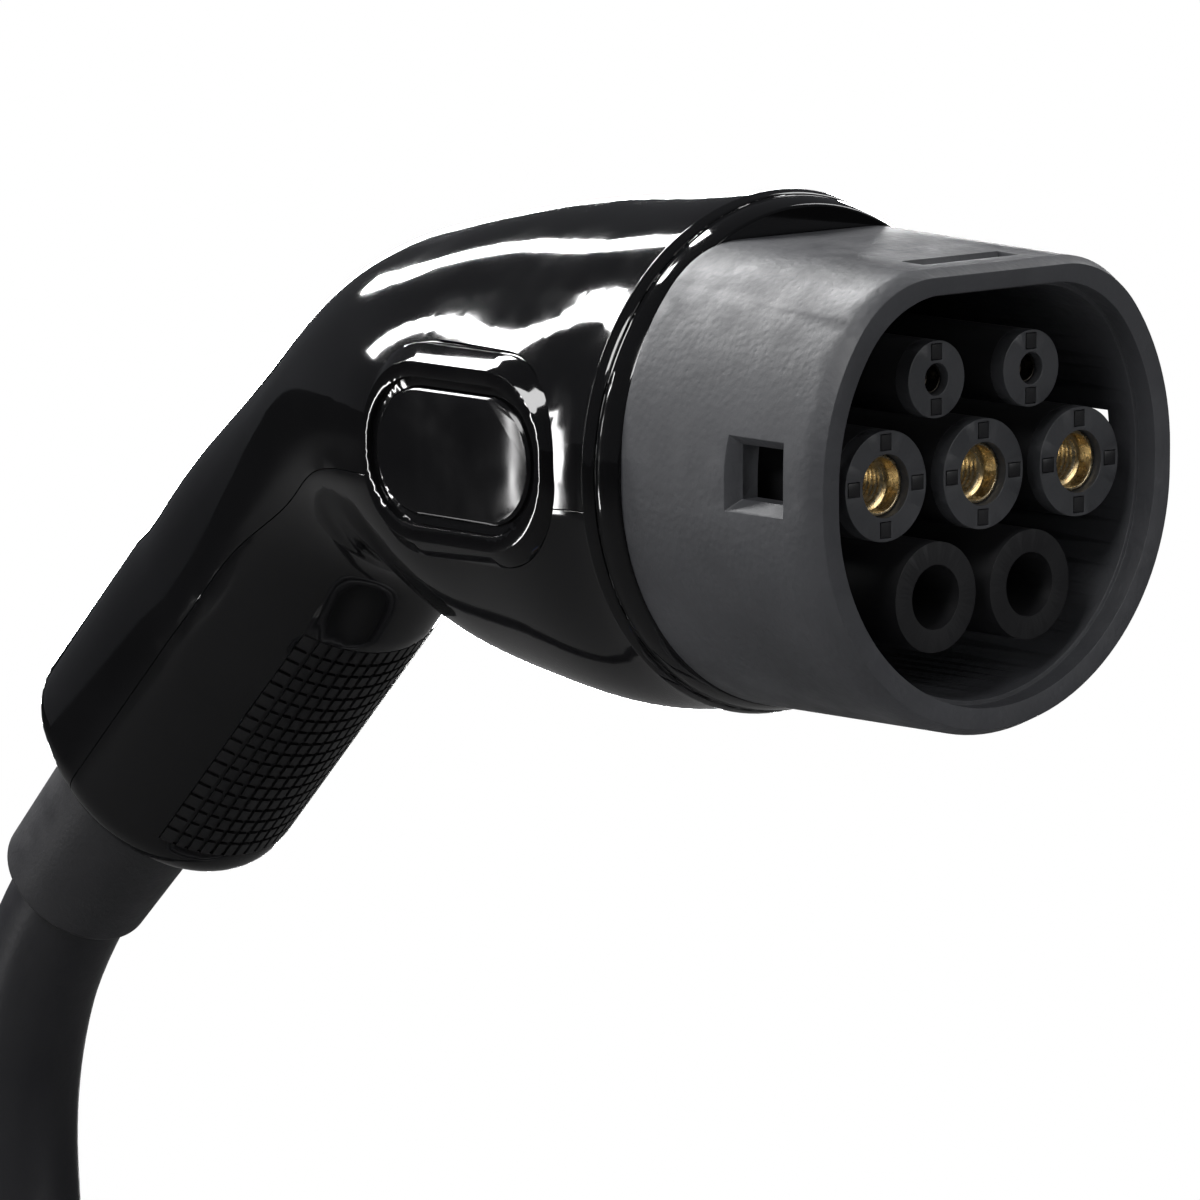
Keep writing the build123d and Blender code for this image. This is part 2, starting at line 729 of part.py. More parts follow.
# ------------------------------------------------------------------- grip panel
rib_span = 2 * (panel_half_angle - panel_border) / rib_columns
first_rib = -90 - panel_half_angle + panel_border
rib_angles = [first_rib + index * rib_span for index in range(1, rib_columns)]
rib_rows = int((panel_end - panel_start) / rib_pitch)
row_start = panel_start + (panel_end - panel_start - rib_rows * rib_pitch) / 2
panel_outer = under_radius + panel_rise

with BuildPart() as grip_panel:
    with BuildSketch(grip_plane(panel_start)):
        add(under_sector(panel_outer, under_radius - panel_thickness + fit_gap,
                         panel_half_angle))
        for angle in rib_angles:
            direction = (cos(radians(angle)), sin(radians(angle)))
            with Locations(Location((panel_outer * direction[0],
                                     under_centre + panel_outer * direction[1], 0),
                                    (0, 0, angle))):
                Rectangle(2 * rib_groove_depth, rib_groove, mode=Mode.SUBTRACT)
    extrude(amount=-(panel_end - panel_start))
    for index in range(1, rib_rows):
        with BuildSketch(grip_plane(row_start + index * rib_pitch - rib_groove / 2)):
            add(under_sector(panel_outer + 1, panel_outer - rib_groove_depth,
                             panel_half_angle + 1))
    extrude(amount=-rib_groove, mode=Mode.SUBTRACT)
grip_panel.part.label = "grip_panel"
export_step(grip_panel.part, "parts/grip_panel.step")


# ------------------------------------------------------------- bezels and badges
def bezel(side, name):
    """Raised frame in the housing's side opening, with a seat for the badge."""
    face = Plane(origin=(side * badge_face, badge_y, badge_z), x_dir=(0, side, 0),
                 z_dir=(side, 0, 0))
    with BuildPart() as frame:
        with BuildSketch(face):
            RectangleRounded(bezel_length, bezel_height, bezel_corner)
        extrude(amount=-bezel_depth)
        chamfer(frame.faces().sort_by(Axis.X)[-1 if side > 0 else 0].edges(), bezel_bevel)
        with BuildSketch(face):
            RectangleRounded(badge_length + 2 * badge_groove, badge_height + 2 * badge_groove,
                             badge_corner + badge_groove)
        extrude(amount=-badge_groove_depth, mode=Mode.SUBTRACT)
        with BuildSketch(face.offset(-badge_groove_depth)):
            RectangleRounded(badge_length, badge_height, badge_corner)
        extrude(amount=-badge_thickness, mode=Mode.SUBTRACT)
    frame.part.label = name
    export_step(frame.part, f"parts/{name}.step")


def badge(side, name):
    """Bare cover plate in the bezel."""
    floor = badge_face - badge_groove_depth - badge_thickness
    face = Plane(origin=(side * floor, badge_y, badge_z), x_dir=(0, side, 0),
                 z_dir=(side, 0, 0))
    with BuildPart() as plate:
        with BuildSketch(face):
            RectangleRounded(badge_length - 2 * fit_gap, badge_height - 2 * fit_gap,
                             badge_corner - fit_gap)
        extrude(amount=badge_thickness + badge_groove_depth - badge_rise)
        chamfer(plate.faces().sort_by(Axis.X)[-1 if side > 0 else 0].edges(), badge_bevel)
    plate.part.label = name
    export_step(plate.part, f"parts/{name}.step")


for side, hand in ((-1, "left"), (1, "right")):
    bezel(side, f"bezel_{hand}")
    badge(side, f"badge_{hand}")

# --------------------------------------------------------------------- cable boot
cable_radius = cable_diameter / 2
grip_axis = Axis((0, *grip_point(0)), (0, *along))
turning_plane = Plane(origin=(0, *grip_point(0)), x_dir=(1, 0, 0),
                      z_dir=(0, -along[1], along[0]))
flange_end = grip_end - end_wall - fit_gap
boot_tip = grip_end + boot_length
boot_bore = cable_radius + boot_bore_gap

with BuildPart() as cable_boot:
    with BuildSketch(turning_plane):
        with BuildLine():
            Polyline((boot_bore, flange_end - boot_flange),
                     (boot_flange_radius, flange_end - boot_flange),
                     (boot_flange_radius, flange_end), (boot_root_radius, flange_end),
                     (boot_root_radius, grip_end), (boot_tip_radius, boot_tip),
                     (boot_bore, boot_tip), close=True)
        make_face()
        fillet(vertices().sort_by(Axis.Y)[-2:].sort_by(Axis.X)[-1], boot_tip_round)
    revolve(axis=grip_axis)
cable_boot.part.label = "cable_boot"
export_step(cable_boot.part, "parts/cable_boot.step")

# -------------------------------------------------------------------- cable clamp
clamp_outer = cable_radius + clamp_wall
clamp_bore = cable_radius + fit_gap
foot_radius = under_radius - wall - fit_gap
clamp_screw_places = [(side * clamp_screw_x, clamp_start + clamp_length / 2)
                      for side in (-1, 1)]

with BuildPart() as clamp_base:
    with BuildSketch(grip_plane(clamp_start)):
        Circle(clamp_outer)
        with Locations((0, -clamp_split / 2 - clamp_ear_thickness / 2)):
            Rectangle(2 * clamp_ear_reach, clamp_ear_thickness)
        with Locations((0, -grip_half_depth / 2)):
            Rectangle(2 * clamp_foot, grip_half_depth)
        with Locations((0, under_centre)):
            Circle(foot_radius, mode=Mode.INTERSECT)
        with Locations((0, grip_half_depth / 2)):
            Rectangle(3 * grip_half_width, grip_half_depth + clamp_split, mode=Mode.SUBTRACT)
        Circle(clamp_bore, mode=Mode.SUBTRACT)
    extrude(amount=-clamp_length)
    with BuildSketch(grip_level(0)):
        with Locations(*clamp_screw_places):
            Circle(screw_radius + screw_gap / 2)
    extrude(amount=clamp_ear_thickness + clamp_split, mode=Mode.SUBTRACT)
clamp_base.part.label = "clamp_base"
export_step(clamp_base.part, "parts/clamp_base.step")

with BuildPart() as clamp_bridge:
    with BuildSketch(grip_plane(clamp_start)):
        Circle(clamp_outer)
        with Locations((0, clamp_split / 2 + clamp_ear_thickness / 2)):
            Rectangle(2 * clamp_ear_reach, clamp_ear_thickness)
        with Locations((0, -grip_half_depth / 2)):
            Rectangle(3 * grip_half_width, grip_half_depth + clamp_split, mode=Mode.SUBTRACT)
        Circle(clamp_bore, mode=Mode.SUBTRACT)
    extrude(amount=-clamp_length)
    with BuildSketch(grip_level(0)):
        with Locations(*clamp_screw_places):
            Circle(screw_radius + screw_gap)
    extrude(amount=-(clamp_ear_thickness + clamp_split), mode=Mode.SUBTRACT)
clamp_bridge.part.label = "clamp_bridge"
export_step(clamp_bridge.part, "parts/clamp_bridge.step")

clamp_seat = clamp_split / 2 + clamp_ear_thickness
with BuildPart() as clamp_screws:
    with BuildSketch(grip_level(clamp_seat)):
        with Locations(*clamp_screw_places):
            Circle(clamp_head_radius)
    extrude(amount=-screw_head)
    with BuildSketch(grip_level(clamp_seat)):
        with Locations(*clamp_screw_places):
            Circle(screw_radius)
    extrude(amount=2 * clamp_seat - screw_hole_spare)
clamp_screws.part.label = "clamp_screws"
export_step(clamp_screws.part, "parts/clamp_screws.step")


# ---------------------------------------------------------- conductors in the grip
def tube(points, radius, bends, name):
    """Round tube along straight runs joined by tangent arcs."""
    with BuildPart() as piece:
        with BuildLine() as route:
            FilletPolyline(*points, radius=bends)
        start = Vector(*points[0])
        heading = Vector(*points[1]) - start
        with BuildSketch(Plane(origin=start, z_dir=heading)):
            Circle(radius)
        sweep(path=route.wire())
    piece.part.label = name
    export_step(piece.part, f"parts/{name}.step")
    return piece.part


def corner_radii(points, share=0.45):
    """Largest arcs that the runs beside each corner allow."""
    radii = []
    for before, corner, after in zip(points, points[1:], points[2:]):
        incoming = Vector(*corner) - Vector(*before)
        outgoing = Vector(*after) - Vector(*corner)
        turn = radians(incoming.get_angle(outgoing))
        radii.append(share * min(incoming.length, outgoing.length) / tan(turn / 2))
    return radii


core_sizes = {key: pilot_core_radius if key == "cp" else core_radius for key in core_layout}
core_starts = {"l1": power_places["l1"], "n": power_places["n"], "pe": power_places["pe"],
               "cp": pilot_places["cp"]}
for key, (x, z) in core_starts.items():
    end_x, end_v = core_layout[key]
    radius = core_sizes[key]
    points = [(x, tail_end, z), (x, tail_end + core_lead, z),
              (end_x, *grip_point(sheath_start - core_gather, end_v)),
              (end_x, *grip_point(sheath_start, end_v))]
    tube(points, radius, [core_bend, core_bend], f"core_{key}")

# ----------------------------------------------------------------- coding resistor
pp_x, pp_z = pilot_places["pp"]
pe_reach = power_tail_radius + loose_gap
lead_start = Vector(pp_x, tail_end + 2 * lead_radius + loose_gap, pp_z)
pp_distance = sqrt(pp_x**2 + pp_z**2)
lead_end = Vector(pe_reach * pp_x / pp_distance, tail_end - lead_drop,
                  pe_reach * pp_z / pp_distance)
lead = lead_end - lead_start

with BuildPart() as coding_resistor:
    with BuildSketch(Plane(origin=lead_start, z_dir=lead)):
        Circle(lead_radius)
    extrude(amount=lead.length)
    with BuildSketch(Plane(origin=lead_start + lead * 0.5, z_dir=lead)):
        Circle(resistor_radius)
    extrude(amount=resistor_length / 2, both=True)
coding_resistor.part.label = "coding_resistor"
export_step(coding_resistor.part, "parts/coding_resistor.step")

# ------------------------------------------------------------------- charging cable
# sheath from the clamp to the root of the boot
with BuildPart() as cable_entry:
    with BuildSketch(grip_plane(sheath_start)):
        Circle(cable_radius)
    extrude(amount=-(entry_end - sheath_start))
cable_entry.part.label = "cable_entry"
export_step(cable_entry.part, "parts/cable_entry.step")

# free cable: through the boot, down under its own weight and into the coil
floor_z = -300.0
coil_turn_radius = 113.75      # centre line of the outermost turn
coil_y = 27.5                  # coil centre
coil_rows = 4                  # height of the inner column of turns, in diameters
outer_rows = 3
landing_angle = 44.4           # where the cable runs into the coil, from +X
floor_line = floor_z + cable_radius


def coil_point(angle, radius, height):
    """Point on the coil's centre line."""
    return (radius * cos(radians(angle)), coil_y + radius * sin(radians(angle)), height)


def before_landing(distance, height):
    """Point on the straight line that runs into the outermost turn."""
    x, y, z = coil_point(landing_angle, coil_turn_radius, height)
    return (x - distance * sin(radians(landing_angle)),
            y + distance * cos(radians(landing_angle)), z)


cable_route = [
    (0, *grip_point(entry_end)),
    (0, *grip_point(entry_end + boot_run)),
    (0, 199.8, -104.9),
    (0, 199.4, -129.9),
    (0, 192.5, -163.5),
    before_landing(113, -205),
    before_landing(97, -246),
    before_landing(67, -276),
    before_landing(24, floor_line),
    before_landing(-12, floor_line),
]
cable_bends = corner_radii(cable_route)
cable = tube(cable_route, cable_radius, cable_bends, "cable")
print("cable bend radii", [round(radius, 1) for radius in cable_bends])
run_lengths = [(Vector(*b) - Vector(*a)).length for a, b in zip(cable_route, cable_route[1:])]
print("cable runs", [round(length, 1) for length in run_lengths])

# the coil as one solid: the inner column of turns stands one row above the outer one
coil_inner = coil_turn_radius - 1.5 * cable_diameter
coil_middle = coil_turn_radius - 0.5 * cable_diameter
coil_edge_round = 0.6 * cable_radius
coil_outer = coil_turn_radius + 0.5 * cable_diameter
with BuildPart() as cable_coil:
    with BuildSketch(Plane(origin=(0, coil_y, floor_z), x_dir=(1, 0, 0), z_dir=(0, -1, 0))):
        with BuildLine():
            Polyline((coil_inner, 0), (coil_outer, 0),
                     (coil_outer, outer_rows * cable_diameter),
                     (coil_middle, outer_rows * cable_diameter),
                     (coil_middle, coil_rows * cable_diameter),
                     (coil_inner, coil_rows * cable_diameter), close=True)
        make_face()
        fillet(vertices().group_by(Axis.Y)[-1], coil_edge_round)
    revolve(axis=Axis((0, coil_y, 0), (0, 0, 1)))
cable_coil.part.label = "cable_coil"
export_step(cable_coil.part, "parts/cable_coil.step")

# the free end lies on the coil's outer column, its cores stripped and in ferrules
tail_height = floor_z + (outer_rows + 0.5) * cable_diameter
tail_start = 200.0             # angles round the coil, running clockwise from above
tail_end_angle = 168.0
core_end_angle = 152.0
ferrule_length = 12.0
ferrule_wall = 0.4


def along_coil(start, end, radius, height, thickness, name):
    """Round piece bent to the coil's curve, from one angle to another."""
    with BuildPart() as piece:
        with BuildLine() as route:
            ThreePointArc(coil_point(start, radius, height),
                          coil_point((start + end) / 2, radius, height),
                          coil_point(end, radius, height))
        with BuildSketch(Plane(origin=route.line @ 0, z_dir=route.line % 0)):
            Circle(thickness)
        sweep(path=route.wire())
    piece.part.label = name
    export_step(piece.part, f"parts/{name}.step")


def coil_end_plane(angle, radius, height):
    """Plane across a turn, facing the way the cable runs."""
    heading = (sin(radians(angle)), -cos(radians(angle)), 0)
    return Plane(origin=coil_point(angle, radius, height), z_dir=heading)


along_coil(tail_start, tail_end_angle, coil_turn_radius, tail_height, cable_radius,
           "cable_tail")

for key, (out, up) in core_layout.items():
    along_coil(tail_end_angle, core_end_angle, coil_turn_radius + out, tail_height + up,
               core_sizes[key], f"far_core_{key}")

with BuildPart() as far_ferrules:
    for key, (out, up) in core_layout.items():
        ferrule_plane = coil_end_plane(core_end_angle, coil_turn_radius + out, tail_height + up)
        with BuildSketch(ferrule_plane):
            Circle(core_sizes[key] - ferrule_wall)
    extrude(amount=ferrule_length)
far_ferrules.part.label = "far_ferrules"
export_step(far_ferrules.part, "parts/far_ferrules.step")
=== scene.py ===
"""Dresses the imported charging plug: finishes, soft edges, contact springs, cable and studio."""

import json
from math import cos, pi, radians, sin

import bmesh
import bpy
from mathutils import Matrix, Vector


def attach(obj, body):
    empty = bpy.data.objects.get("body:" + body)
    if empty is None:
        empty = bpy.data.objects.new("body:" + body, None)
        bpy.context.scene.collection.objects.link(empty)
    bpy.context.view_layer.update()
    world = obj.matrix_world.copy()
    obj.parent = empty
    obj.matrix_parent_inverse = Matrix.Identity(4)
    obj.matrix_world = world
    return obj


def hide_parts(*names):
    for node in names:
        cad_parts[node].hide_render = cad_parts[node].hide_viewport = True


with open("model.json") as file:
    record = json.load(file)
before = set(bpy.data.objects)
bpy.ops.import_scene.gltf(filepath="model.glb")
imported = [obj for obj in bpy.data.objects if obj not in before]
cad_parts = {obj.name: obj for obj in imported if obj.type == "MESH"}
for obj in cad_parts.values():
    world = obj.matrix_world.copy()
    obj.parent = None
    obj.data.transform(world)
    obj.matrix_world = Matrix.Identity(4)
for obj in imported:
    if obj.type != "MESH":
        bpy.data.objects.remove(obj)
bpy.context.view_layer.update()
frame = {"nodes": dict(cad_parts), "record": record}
MM = 0.001

# ------------------------------------------------------------------ plug dimensions (mm)
GRIP_ANGLE = 46.0
GRIP_OFFSET = 80.2
ENTRY_END = 166.0              # the cable leaves its straight seat here, inside the boot
BOOT_RUN = 25.0                # and points the same way over this length
CABLE_DIAMETER = 17.5
FLOOR_Z = -300.0
FLOOR_LINE = FLOOR_Z + CABLE_DIAMETER / 2
COIL_Y = 27.5
COIL_OUTER = 113.75            # centre line of the outer column of turns
COIL_INNER = COIL_OUTER - CABLE_DIAMETER
LANDING_ANGLE = 44.4
TAIL_ANGLE = 168.0


# ---------------------------------------------------------------------------- helpers
def link(obj):
    bpy.context.scene.collection.objects.link(obj)
    return obj


def dressed(obj, material):
    """Gives a new piece its material and its body."""
    obj.data.materials.clear()
    obj.data.materials.append(material)
    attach(obj, "root")
    return obj


def grip_point(s, v=0.0):
    """(Y, Z) in mm at s down the grip and v towards its back."""
    angle = radians(GRIP_ANGLE)
    offset = GRIP_OFFSET + v
    return (s * cos(angle) + offset * sin(angle), -s * sin(angle) + offset * cos(angle))


# -------------------------------------------------------------------------- materials
NOISE_LOW, NOISE_HIGH = 0.3, 0.7       # the range that most of a noise stays in


class Nodes:
    """Short names for building a material's node tree."""

    def __init__(self, name):
        self.material = bpy.data.materials.new(name)
        self.material.use_nodes = True
        self.tree = self.material.node_tree
        self.shader = self.tree.nodes["Principled BSDF"]
        self.coords = self.add("ShaderNodeTexCoord").outputs["Object"]

    def add(self, kind, **settings):
        node = self.tree.nodes.new(kind)
        for key, value in settings.items():
            if key in node.inputs:
                node.inputs[key].default_value = value
            else:
                setattr(node, key, value)
        return node

    def join(self, source, target):
        self.tree.links.new(source, target)

    def noise(self, scale, detail=3.0, roughness=0.5):
        node = self.add("ShaderNodeTexNoise", Scale=scale, Detail=detail, Roughness=roughness)
        self.join(self.coords, node.inputs["Vector"])
        return node.outputs["Fac"]

    def spread(self, value, low, high):
        """Maps the middle of a noise to low..high."""
        node = self.add("ShaderNodeMapRange")
        for socket, number in zip(node.inputs[1:5], (NOISE_LOW, NOISE_HIGH, low, high)):
            socket.default_value = number
        self.join(value, node.inputs["Value"])
        return node.outputs["Result"]

    def tint(self, value, dark, light):
        node = self.add("ShaderNodeMix", data_type="RGBA")
        first, second = [socket for socket in node.inputs if socket.type == "RGBA"]
        first.default_value = (*dark, 1)
        second.default_value = (*light, 1)
        self.join(value, node.inputs["Factor"])
        return [socket for socket in node.outputs if socket.type == "RGBA"][0]

    def bump(self, height, distance):
        node = self.add("ShaderNodeBump", Distance=distance)
        self.join(height, node.inputs["Height"])
        return node.outputs["Normal"]


def moulded(name, colour, roughness, variation=0.12, grain=900.0, grain_depth=0.00002,
            cloud=60.0, roughness_spread=0.06, coat=0.0, specular=0.5):
    """Moulded plastic or rubber: soft colour clouds, uneven gloss and a fine skin."""
    nodes = Nodes(name)
    dark = tuple(c * (1 - variation) for c in colour)
    light = tuple(c * (1 + variation) for c in colour)
    clouds = nodes.noise(cloud, 4.0)
    nodes.join(nodes.tint(nodes.spread(clouds, 0, 1), dark, light),
               nodes.shader.inputs["Base Color"])
    gloss = nodes.spread(nodes.noise(cloud * 3, 3.0), roughness - roughness_spread,
                         roughness + roughness_spread)
    nodes.join(gloss, nodes.shader.inputs["Roughness"])
    skin = nodes.noise(grain, 4.0, 0.6)
    nodes.join(nodes.bump(skin, grain_depth), nodes.shader.inputs["Normal"])
    nodes.shader.inputs["Coat Weight"].default_value = coat
    nodes.shader.inputs["Coat Roughness"].default_value = 0.04
    nodes.shader.inputs["Specular IOR Level"].default_value = specular
    return nodes.material


def textured(name, colour, roughness, pebble=1100.0, depth=0.00005):
    """Spark-eroded plastic: rounded pebbles under a fine grain, brighter where rubbed."""
    nodes = Nodes(name)
    cells = nodes.add("ShaderNodeTexVoronoi", Scale=pebble, feature="SMOOTH_F1")
    nodes.join(nodes.coords, cells.inputs["Vector"])
    fine = nodes.noise(pebble * 2.4, 3.0)
    height = nodes.add("ShaderNodeMath", operation="MULTIPLY_ADD")
    height.inputs[1].default_value = 0.4
    nodes.join(fine, height.inputs[0])
    nodes.join(cells.outputs["Distance"], height.inputs[2])
    nodes.join(nodes.bump(height.outputs[0], depth), nodes.shader.inputs["Normal"])
    dark = tuple(c * 0.82 for c in colour)
    light = tuple(c * 1.2 for c in colour)
    clouds = nodes.noise(45.0, 5.0, 0.6)
    nodes.join(nodes.tint(nodes.spread(clouds, 0, 1), dark, light),
               nodes.shader.inputs["Base Color"])
    nodes.join(nodes.spread(nodes.noise(220.0), roughness - 0.08, roughness + 0.08),
               nodes.shader.inputs["Roughness"])
    nodes.shader.inputs["Specular IOR Level"].default_value = 0.4
    return nodes.material


def metal(name, colour, roughness, scratch=700.0):
    """Turned or plated metal with fine uneven polish."""
    nodes = Nodes(name)
    nodes.shader.inputs["Metallic"].default_value = 1.0
    dark = tuple(c * 0.86 for c in colour)
    nodes.join(nodes.tint(nodes.spread(nodes.noise(scratch), 0, 1), dark, colour),
               nodes.shader.inputs["Base Color"])
    nodes.join(nodes.spread(nodes.noise(scratch * 1.7), roughness - 0.06, roughness + 0.08),
               nodes.shader.inputs["Roughness"])
    nodes.join(nodes.bump(nodes.noise(scratch * 3), 0.000006), nodes.shader.inputs["Normal"])
    return nodes.material


def striped(name, base, stripe):
    """Two-colour core insulation, in bands along the core."""
    nodes = Nodes(name)
    wave = nodes.add("ShaderNodeTexWave", Scale=70.0, Distortion=1.0)
    nodes.join(nodes.coords, wave.inputs["Vector"])
    nodes.join(nodes.tint(nodes.spread(wave.outputs["Fac"], 0, 1), base, stripe),
               nodes.shader.inputs["Base Color"])
    nodes.join(nodes.spread(nodes.noise(200.0), 0.35, 0.5), nodes.shader.inputs["Roughness"])
    return nodes.material


gloss_black = moulded("gloss_black", (0.0035, 0.0035, 0.0038), 0.07, grain=260.0,
                      grain_depth=0.000004, roughness_spread=0.025, coat=0.35, specular=0.42)
badge_black = moulded("badge_black", (0.004, 0.004, 0.0044), 0.11, grain=300.0,
                      grain_depth=0.000003, roughness_spread=0.03, specular=0.4)
shroud_grey = textured("shroud_grey", (0.036, 0.037, 0.041), 0.5)
guard_grey = textured("guard_grey", (0.030, 0.031, 0.034), 0.46, pebble=1700.0, depth=0.00003)
carrier_black = moulded("carrier_black", (0.010, 0.010, 0.011), 0.42, specular=0.35)
grip_black = moulded("grip_black", (0.007, 0.007, 0.0075), 0.34, grain=1300.0,
                     grain_depth=0.00004)
contact_gold = metal("contact_gold", (0.80, 0.66, 0.42), 0.26)
# painted shade: the pilot contacts are dark metal to stand for the shade deep in their small
# holes; the real contacts are bright plated metal
contact_painted_shade = metal("contact_painted_shade", (0.10, 0.09, 0.075), 0.3)
boot_black = moulded("boot_black", (0.016, 0.016, 0.018), 0.46, grain=1500.0,
                     grain_depth=0.00006, cloud=90.0)
sheath_black = moulded("sheath_black", (0.012, 0.012, 0.014), 0.38, grain=1100.0,
                       grain_depth=0.00004, cloud=40.0)
seal_red = moulded("seal_red", (0.3, 0.05, 0.03), 0.5)
clamp_black = moulded("clamp_black", (0.02, 0.02, 0.02), 0.5)
screw_zinc = metal("screw_zinc", (0.62, 0.62, 0.6), 0.3)
ferrule_tin = metal("ferrule_tin", (0.72, 0.72, 0.7), 0.28)
core_brown = moulded("core_brown", (0.12, 0.045, 0.018), 0.4)
core_blue = moulded("core_blue", (0.015, 0.08, 0.32), 0.4)
core_earth = striped("core_earth", (0.10, 0.30, 0.03), (0.62, 0.55, 0.03))
core_pilot = moulded("core_pilot", (0.5, 0.5, 0.48), 0.42)
resistor_tan = moulded("resistor_tan", (0.45, 0.33, 0.18), 0.4)

SLOT_MATERIALS = {
    "housing": gloss_black, "shroud": shroud_grey, "carrier": carrier_black,
    "guard": guard_grey, "contact": contact_gold, "badge": badge_black, "grip": grip_black,
    "seal": seal_red, "boot": boot_black, "clamp": clamp_black, "screw": screw_zinc,
    "sheath": sheath_black, "core_brown": core_brown, "core_blue": core_blue,
    "core_earth": core_earth, "core_pilot": core_pilot, "ferrule": ferrule_tin,
    "resistor": resistor_tan,
}
slots = {entry["node"]: entry["material_slot"] for entry in frame["record"]["subparts"]}
for node_name, node in frame["nodes"].items():
    node.data.materials.clear()
    node.data.materials.append(SLOT_MATERIALS[slots[node_name]])


# --------------------------------------------------- moulded pieces with rounded edges
def softened(node_name, edge, crease=32.0, segments=3):
    """The node's own form, welded, with its sharp edges rounded as a mould leaves them."""
    source = frame["nodes"][node_name]
    mesh = source.data.copy()
    obj = link(bpy.data.objects.new(f"{node_name}_moulding", mesh))
    work = bmesh.new()
    work.from_mesh(mesh)
    bmesh.ops.remove_doubles(work, verts=work.verts, dist=0.000002)
    for face in work.faces:
        face.smooth = True
    work.to_mesh(mesh)
    work.free()
    mesh.set_sharp_from_angle(angle=radians(crease))
    if edge:
        bevel = obj.modifiers.new("edge", "BEVEL")
        bevel.width = edge
        bevel.segments = segments
        bevel.limit_method = "ANGLE"
        bevel.angle_limit = radians(crease)
        bevel.harden_normals = True
    dressed(obj, SLOT_MATERIALS[slots[node_name]])
    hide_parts(node_name)
    return obj


# -------------------------------------------------------------- springs in the contacts
def lathe(name, profile, places, material, sides=64):
    """Turned pieces along Y, from (radius, y) points in mm, one at each (x, z)."""
    work = bmesh.new()
    for x, z in places:
        rings = []
        for radius, y in profile:
            ring = []
            for index in range(sides):
                angle = 2 * pi * index / sides
                ring.append(work.verts.new(((x + radius * cos(angle)) * MM, y * MM,
                                            (z + radius * sin(angle)) * MM)))
            rings.append(ring)
        for first, second in zip(rings, rings[1:] + rings[:1]):
            for index in range(sides):
                after = (index + 1) % sides
                work.faces.new((first[index], first[after], second[after], second[index]))
    bmesh.ops.recalc_face_normals(work, faces=work.faces)
    mesh = bpy.data.meshes.new(name)
    work.to_mesh(mesh)
    work.free()
    for face in mesh.polygons:
        face.use_smooth = True
    mesh.set_sharp_from_angle(angle=radians(50))
    return dressed(link(bpy.data.objects.new(name, mesh)), material)


def spring_profile(outer, inner, start, pitch, count):
    """Section of a contact's spring cage: rounded rings nested one behind another."""
    points = [(outer, start)]
    for ring in range(count):
        for step, share in ((0.0, 0.0), (0.25, 0.75), (0.5, 1.0), (0.75, 0.75)):
            points.append((outer - (outer - inner) * share, start + (ring + step) * pitch))
    end = start + count * pitch
    return points + [(outer, end), (outer + 0.04, end), (outer + 0.04, start)]


POWER_PLACES = [(-17.25, 0.0), (0.0, 0.0), (17.25, 0.0)]
PILOT_PLACES = [(-8.43, 12.82), (8.43, 12.82)]
SPRING_START = 6.5             # y of the first spring ring
lathe("power_contact_springs", spring_profile(2.95, 2.55, SPRING_START, 0.85, 14),
      POWER_PLACES, contact_gold)
# the pilot springs take the dark metal of painted shade in their holes
lathe("pilot_contact_springs", spring_profile(1.45, 1.25, SPRING_START, 0.6, 12),
      PILOT_PLACES, contact_painted_shade, sides=40)


# -------------------------------------------------------------------------- the cable
def coil_point(angle, radius, height):
    return (radius * cos(radians(angle)), COIL_Y + radius * sin(radians(angle)), height)


def before_landing(distance, height):
    x, y, z = coil_point(LANDING_ANGLE, COIL_OUTER, height)
    return (x - distance * sin(radians(LANDING_ANGLE)),
            y + distance * cos(radians(LANDING_ANGLE)), z)


HANGING = [
    (0, *grip_point(ENTRY_END)),
    (0, *grip_point(ENTRY_END + BOOT_RUN)),
    (0, 199.8, -104.9),
    (0, 199.4, -129.9),
    (0, 192.5, -163.5),
    before_landing(113, -205),
    before_landing(97, -246),
    before_landing(67, -276),
    before_landing(24, FLOOR_LINE),
]
# each turn's column and row, and the angle over which the cable moves there
TURNS = [(COIL_OUTER, 0, 0), (COIL_INNER, 0, 60), (COIL_INNER, 1, 45), (COIL_OUTER, 1, 60),
         (COIL_OUTER, 2, 45), (COIL_INNER, 2, 60), (COIL_INNER, 3, 45), (COIL_OUTER, 3, 60)]
STEP = 20.0                    # degrees from one control point to the next


def coil_places():
    """Radius and height at each turned angle, moving from turn to turn in smooth steps."""
    moves = [(360.0, TURNS[1][2])]
    for _, _, width in TURNS[2:]:
        moves.append((moves[-1][0] + 360.0 - width, width))
    last = sum(moves[-1])
    end = last + (LANDING_ANGLE - last - TAIL_ANGLE) % 360.0

    def place(turned):
        radius, row = TURNS[0][0], float(TURNS[0][1])
        for (start, width), (column, level, _) in zip(moves, TURNS[1:]):
            share = min(max((turned - start) / width, 0.0), 1.0)
            share = share * share * (3 - 2 * share)
            radius += (column - radius) * share
            row += (level - row) * share
        return radius, row

    turned = STEP / 2
    points = []
    while turned < end + STEP / 4:
        radius, row = place(turned)
        outward = radius / cos(radians(STEP / 2))      # so that the curve keeps its radius
        points.append(coil_point(LANDING_ANGLE - turned, outward,
                                 FLOOR_LINE + row * CABLE_DIAMETER))
        turned += STEP
    radius, row = place(end)
    points.append(coil_point(LANDING_ANGLE - end, radius, FLOOR_LINE + row * CABLE_DIAMETER))
    return points


